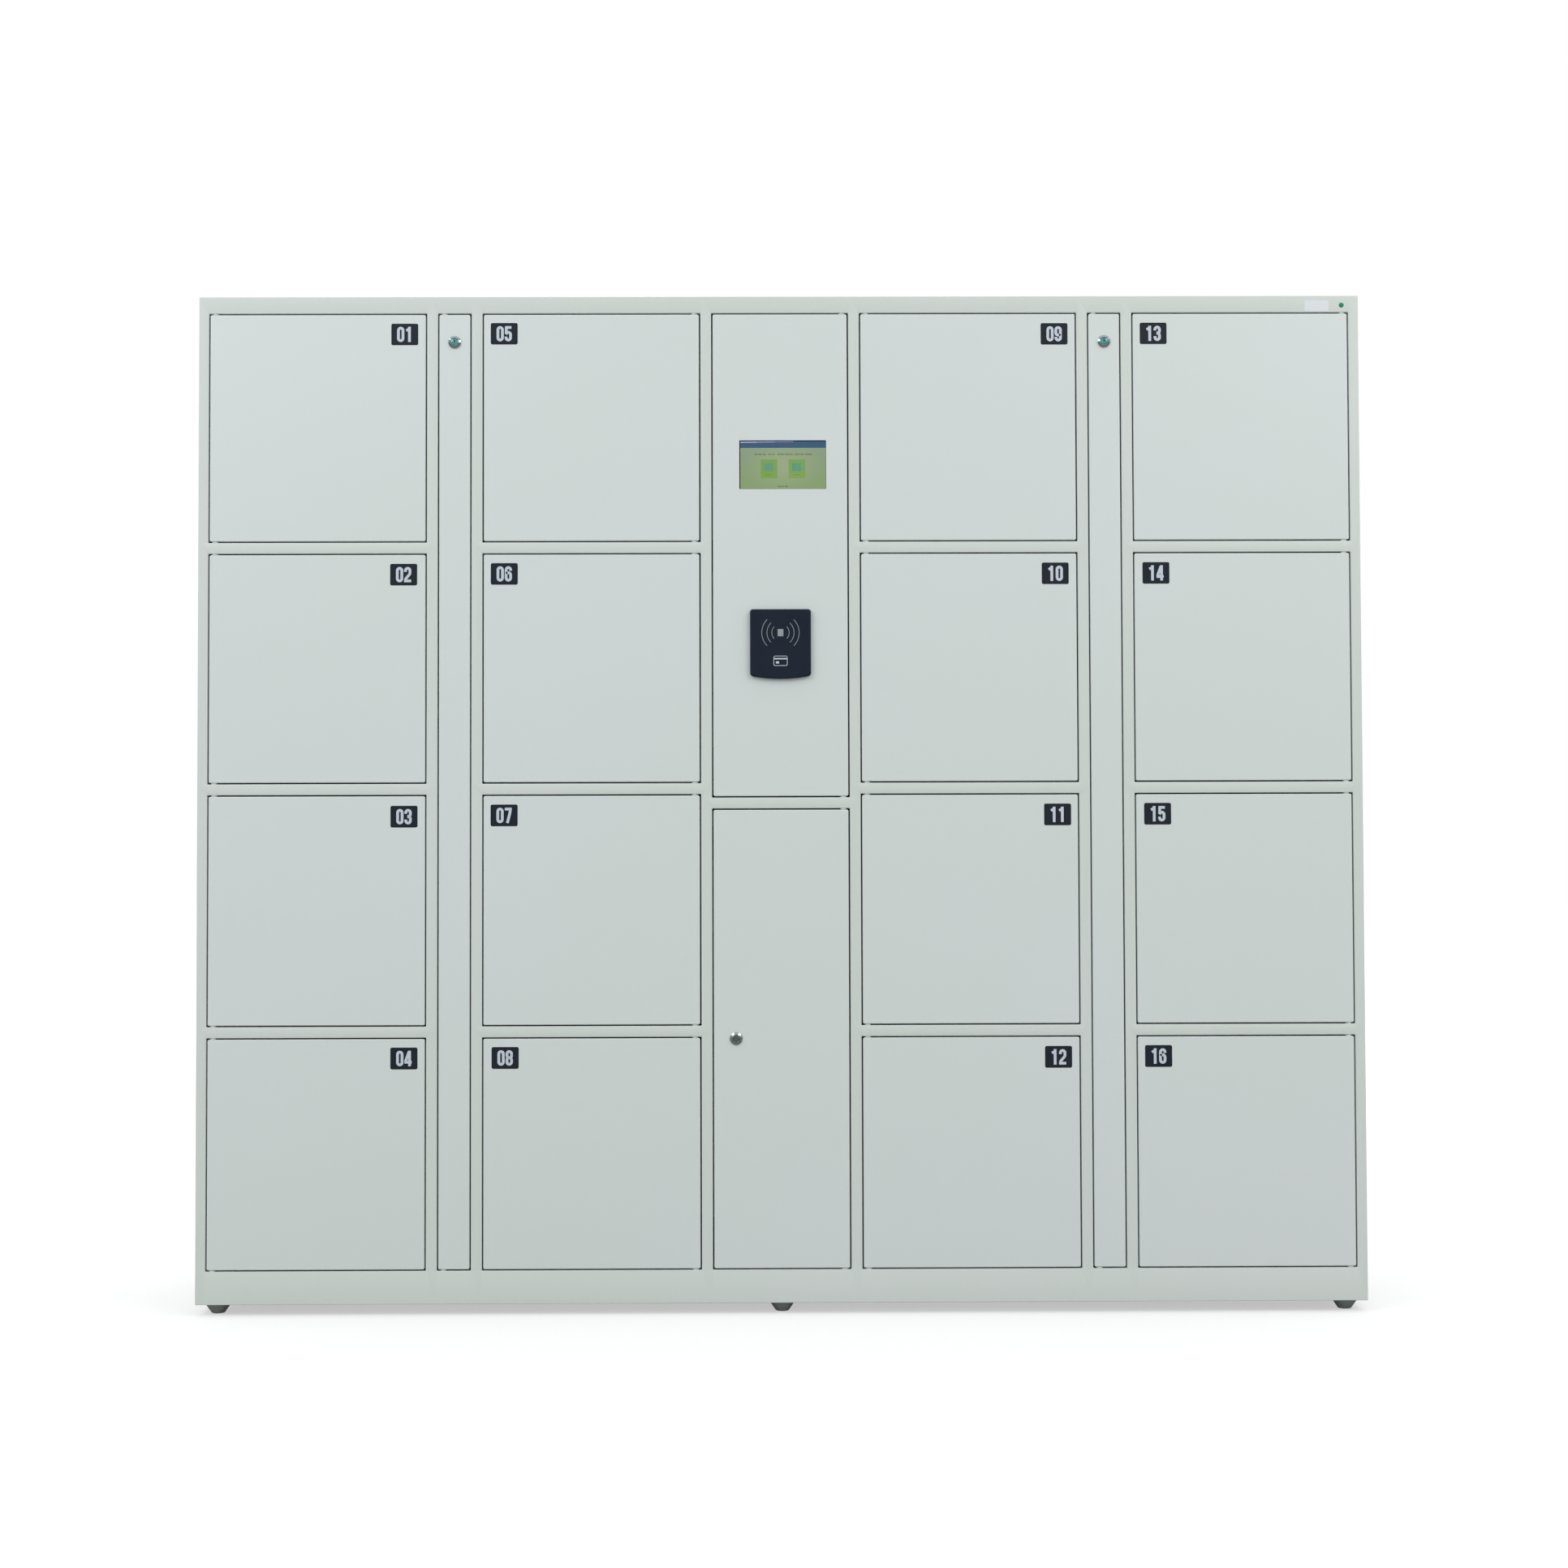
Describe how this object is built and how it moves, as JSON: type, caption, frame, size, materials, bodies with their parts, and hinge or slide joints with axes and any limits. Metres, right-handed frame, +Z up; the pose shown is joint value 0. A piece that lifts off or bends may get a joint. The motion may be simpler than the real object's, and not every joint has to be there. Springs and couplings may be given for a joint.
{
  "type": "parcel locker",
  "caption": "Sheet-steel parcel locker: numbered inset doors in columns, narrow wiring channel covers, and a control column with touch screen, card reader and service door.",
  "frame": {"origin": "on the floor under the middle of the cabinet's bounding box", "axes": "+X to the right seen from the front, +Y from the doors to the back, +Z up"},
  "size_m": [2.086, 0.472, 1.821],
  "materials": {
    "powder_coat": "fine-textured light grey powder coat",
    "inner_coat": "plain light grey powder coat",
    "zinc_steel": "zinc plated",
    "lock_chrome": "polished",
    "screen_unit": "glossy",
    "reader_plastic": "satin",
    "black_plastic": "matt",
    "circuit_board": "satin solder mask",
    "supply_case": "brushed",
    "foot_plastic": "matt"
  },
  "bodies": {
    "cabinet": {"frame_stiles": "powder_coat", "frame_rails": "powder_coat", "side_panels": "powder_coat", "top_panel": "powder_coat", "base_tray": "inner_coat", "back_panels": "powder_coat", "partitions": "inner_coat", "shelves": "inner_coat", "door_stops": "zinc_steel", "hinge_pins": "zinc_steel", "feet": "foot_plastic", "latch_cases": "zinc_steel", "latch_solenoids": "black_plastic", "controller_board": "circuit_board", "power_supply": "supply_case", "mains_inlet": "black_plastic"},
    "door_01": {"door_01": "powder_coat"},
    "door_02": {"door_02": "powder_coat"},
    "door_03": {"door_03": "powder_coat"},
    "door_04": {"door_04": "powder_coat"},
    "door_05": {"door_05": "powder_coat"},
    "door_06": {"door_06": "powder_coat"},
    "door_07": {"door_07": "powder_coat"},
    "door_08": {"door_08": "powder_coat"},
    "door_09": {"door_09": "powder_coat"},
    "door_10": {"door_10": "powder_coat"},
    "door_11": {"door_11": "powder_coat"},
    "door_12": {"door_12": "powder_coat"},
    "door_13": {"door_13": "powder_coat"},
    "door_14": {"door_14": "powder_coat"},
    "door_15": {"door_15": "powder_coat"},
    "door_16": {"door_16": "powder_coat"},
    "control_door": {"control_door": "powder_coat", "touch_screen": "screen_unit", "card_reader": "reader_plastic"},
    "service_door": {"service_door": "powder_coat", "service_lock": "lock_chrome"},
    "cover_left": {"cover_left": "powder_coat", "cover_lock_left": "lock_chrome"},
    "cover_right": {"cover_right": "powder_coat", "cover_lock_right": "lock_chrome"},
    "cover_cam_left": {"cover_cam_left": "lock_chrome"},
    "cover_cam_right": {"cover_cam_right": "lock_chrome"},
    "service_cam": {"service_cam": "lock_chrome"},
    "latch_01": {"latch_01": "zinc_steel"},
    "latch_02": {"latch_02": "zinc_steel"},
    "latch_03": {"latch_03": "zinc_steel"},
    "latch_04": {"latch_04": "zinc_steel"},
    "latch_05": {"latch_05": "zinc_steel"},
    "latch_06": {"latch_06": "zinc_steel"},
    "latch_07": {"latch_07": "zinc_steel"},
    "latch_08": {"latch_08": "zinc_steel"},
    "latch_09": {"latch_09": "zinc_steel"},
    "latch_10": {"latch_10": "zinc_steel"},
    "latch_11": {"latch_11": "zinc_steel"},
    "latch_12": {"latch_12": "zinc_steel"},
    "latch_13": {"latch_13": "zinc_steel"},
    "latch_14": {"latch_14": "zinc_steel"},
    "latch_15": {"latch_15": "zinc_steel"},
    "latch_16": {"latch_16": "zinc_steel"}
  },
  "joints": [
    {"name": "door_01_hinge", "type": "hinge", "parent": "cabinet", "child": "door_01", "pos_m": [-1.01375, -0.221, 1.5845], "axis": [0, 0, -1], "range_deg": [0, 90]},
    {"name": "door_02_hinge", "type": "hinge", "parent": "cabinet", "child": "door_02", "pos_m": [-1.01375, -0.221, 1.1515], "axis": [0, 0, -1], "range_deg": [0, 90]},
    {"name": "door_03_hinge", "type": "hinge", "parent": "cabinet", "child": "door_03", "pos_m": [-1.01375, -0.221, 0.7185], "axis": [0, 0, -1], "range_deg": [0, 90]},
    {"name": "door_04_hinge", "type": "hinge", "parent": "cabinet", "child": "door_04", "pos_m": [-1.01375, -0.221, 0.2855], "axis": [0, 0, -1], "range_deg": [0, 90]},
    {"name": "door_05_hinge", "type": "hinge", "parent": "cabinet", "child": "door_05", "pos_m": [-0.15425, -0.221, 1.5845], "axis": [0, 0, 1], "range_deg": [0, 90]},
    {"name": "door_06_hinge", "type": "hinge", "parent": "cabinet", "child": "door_06", "pos_m": [-0.15425, -0.221, 1.1515], "axis": [0, 0, 1], "range_deg": [0, 90]},
    {"name": "door_07_hinge", "type": "hinge", "parent": "cabinet", "child": "door_07", "pos_m": [-0.15425, -0.221, 0.7185], "axis": [0, 0, 1], "range_deg": [0, 90]},
    {"name": "door_08_hinge", "type": "hinge", "parent": "cabinet", "child": "door_08", "pos_m": [-0.15425, -0.221, 0.2855], "axis": [0, 0, 1], "range_deg": [0, 90]},
    {"name": "door_09_hinge", "type": "hinge", "parent": "cabinet", "child": "door_09", "pos_m": [0.15425, -0.221, 1.5845], "axis": [0, 0, -1], "range_deg": [0, 90]},
    {"name": "door_10_hinge", "type": "hinge", "parent": "cabinet", "child": "door_10", "pos_m": [0.15425, -0.221, 1.1515], "axis": [0, 0, -1], "range_deg": [0, 90]},
    {"name": "door_11_hinge", "type": "hinge", "parent": "cabinet", "child": "door_11", "pos_m": [0.15425, -0.221, 0.7185], "axis": [0, 0, -1], "range_deg": [0, 90]},
    {"name": "door_12_hinge", "type": "hinge", "parent": "cabinet", "child": "door_12", "pos_m": [0.15425, -0.221, 0.2855], "axis": [0, 0, -1], "range_deg": [0, 90]},
    {"name": "door_13_hinge", "type": "hinge", "parent": "cabinet", "child": "door_13", "pos_m": [1.01375, -0.221, 1.5845], "axis": [0, 0, 1], "range_deg": [0, 90]},
    {"name": "door_14_hinge", "type": "hinge", "parent": "cabinet", "child": "door_14", "pos_m": [1.01375, -0.221, 1.1515], "axis": [0, 0, 1], "range_deg": [0, 90]},
    {"name": "door_15_hinge", "type": "hinge", "parent": "cabinet", "child": "door_15", "pos_m": [1.01375, -0.221, 0.7185], "axis": [0, 0, 1], "range_deg": [0, 90]},
    {"name": "door_16_hinge", "type": "hinge", "parent": "cabinet", "child": "door_16", "pos_m": [1.01375, -0.221, 0.2855], "axis": [0, 0, 1], "range_deg": [0, 90]},
    {"name": "control_door_hinge", "type": "hinge", "parent": "cabinet", "child": "control_door", "pos_m": [0.11175, -0.221, 1.355], "axis": [0, 0, 1], "range_deg": [0, 90]},
    {"name": "service_door_hinge", "type": "hinge", "parent": "cabinet", "child": "service_door", "pos_m": [0.11175, -0.221, 0.489], "axis": [0, 0, 1], "range_deg": [0, 90]},
    {"name": "cover_left_hinge", "type": "hinge", "parent": "cabinet", "child": "cover_left", "pos_m": [-0.60275, -0.221, 0.935], "axis": [0, 0, -1], "range_deg": [0, 90]},
    {"name": "cover_right_hinge", "type": "hinge", "parent": "cabinet", "child": "cover_right", "pos_m": [0.56525, -0.221, 0.935], "axis": [0, 0, -1], "range_deg": [0, 90]},
    {"name": "cover_cam_left_turn", "type": "hinge", "parent": "cover_left", "child": "cover_cam_left", "pos_m": [-0.584, -0.227, 1.739], "axis": [0, -1, 0], "range_deg": [0, 90]},
    {"name": "cover_cam_right_turn", "type": "hinge", "parent": "cover_right", "child": "cover_cam_right", "pos_m": [0.584, -0.227, 1.739], "axis": [0, -1, 0], "range_deg": [0, 90]},
    {"name": "service_cam_turn", "type": "hinge", "parent": "service_door", "child": "service_cam", "pos_m": [-0.081, -0.227, 0.489], "axis": [0, 1, 0], "range_deg": [0, 90]},
    {"name": "latch_01_swing", "type": "hinge", "parent": "cabinet", "child": "latch_01", "pos_m": [-0.61, -0.157, 1.5845], "axis": [0, 0, -1], "range_deg": [0, 36], "stiffness_Nm_per_rad": 0.02},
    {"name": "latch_02_swing", "type": "hinge", "parent": "cabinet", "child": "latch_02", "pos_m": [-0.61, -0.157, 1.1515], "axis": [0, 0, -1], "range_deg": [0, 36], "stiffness_Nm_per_rad": 0.02},
    {"name": "latch_03_swing", "type": "hinge", "parent": "cabinet", "child": "latch_03", "pos_m": [-0.61, -0.157, 0.7185], "axis": [0, 0, -1], "range_deg": [0, 36], "stiffness_Nm_per_rad": 0.02},
    {"name": "latch_04_swing", "type": "hinge", "parent": "cabinet", "child": "latch_04", "pos_m": [-0.61, -0.157, 0.2855], "axis": [0, 0, -1], "range_deg": [0, 36], "stiffness_Nm_per_rad": 0.02},
    {"name": "latch_05_swing", "type": "hinge", "parent": "cabinet", "child": "latch_05", "pos_m": [-0.558, -0.157, 1.5845], "axis": [0, 0, 1], "range_deg": [0, 36], "stiffness_Nm_per_rad": 0.02},
    {"name": "latch_06_swing", "type": "hinge", "parent": "cabinet", "child": "latch_06", "pos_m": [-0.558, -0.157, 1.1515], "axis": [0, 0, 1], "range_deg": [0, 36], "stiffness_Nm_per_rad": 0.02},
    {"name": "latch_07_swing", "type": "hinge", "parent": "cabinet", "child": "latch_07", "pos_m": [-0.558, -0.157, 0.7185], "axis": [0, 0, 1], "range_deg": [0, 36], "stiffness_Nm_per_rad": 0.02},
    {"name": "latch_08_swing", "type": "hinge", "parent": "cabinet", "child": "latch_08", "pos_m": [-0.558, -0.157, 0.2855], "axis": [0, 0, 1], "range_deg": [0, 36], "stiffness_Nm_per_rad": 0.02},
    {"name": "latch_09_swing", "type": "hinge", "parent": "cabinet", "child": "latch_09", "pos_m": [0.558, -0.157, 1.5845], "axis": [0, 0, -1], "range_deg": [0, 36], "stiffness_Nm_per_rad": 0.02},
    {"name": "latch_10_swing", "type": "hinge", "parent": "cabinet", "child": "latch_10", "pos_m": [0.558, -0.157, 1.1515], "axis": [0, 0, -1], "range_deg": [0, 36], "stiffness_Nm_per_rad": 0.02},
    {"name": "latch_11_swing", "type": "hinge", "parent": "cabinet", "child": "latch_11", "pos_m": [0.558, -0.157, 0.7185], "axis": [0, 0, -1], "range_deg": [0, 36], "stiffness_Nm_per_rad": 0.02},
    {"name": "latch_12_swing", "type": "hinge", "parent": "cabinet", "child": "latch_12", "pos_m": [0.558, -0.157, 0.2855], "axis": [0, 0, -1], "range_deg": [0, 36], "stiffness_Nm_per_rad": 0.02},
    {"name": "latch_13_swing", "type": "hinge", "parent": "cabinet", "child": "latch_13", "pos_m": [0.61, -0.157, 1.5845], "axis": [0, 0, 1], "range_deg": [0, 36], "stiffness_Nm_per_rad": 0.02},
    {"name": "latch_14_swing", "type": "hinge", "parent": "cabinet", "child": "latch_14", "pos_m": [0.61, -0.157, 1.1515], "axis": [0, 0, 1], "range_deg": [0, 36], "stiffness_Nm_per_rad": 0.02},
    {"name": "latch_15_swing", "type": "hinge", "parent": "cabinet", "child": "latch_15", "pos_m": [0.61, -0.157, 0.7185], "axis": [0, 0, 1], "range_deg": [0, 36], "stiffness_Nm_per_rad": 0.02},
    {"name": "latch_16_swing", "type": "hinge", "parent": "cabinet", "child": "latch_16", "pos_m": [0.61, -0.157, 0.2855], "axis": [0, 0, 1], "range_deg": [0, 36], "stiffness_Nm_per_rad": 0.02}
  ]
}
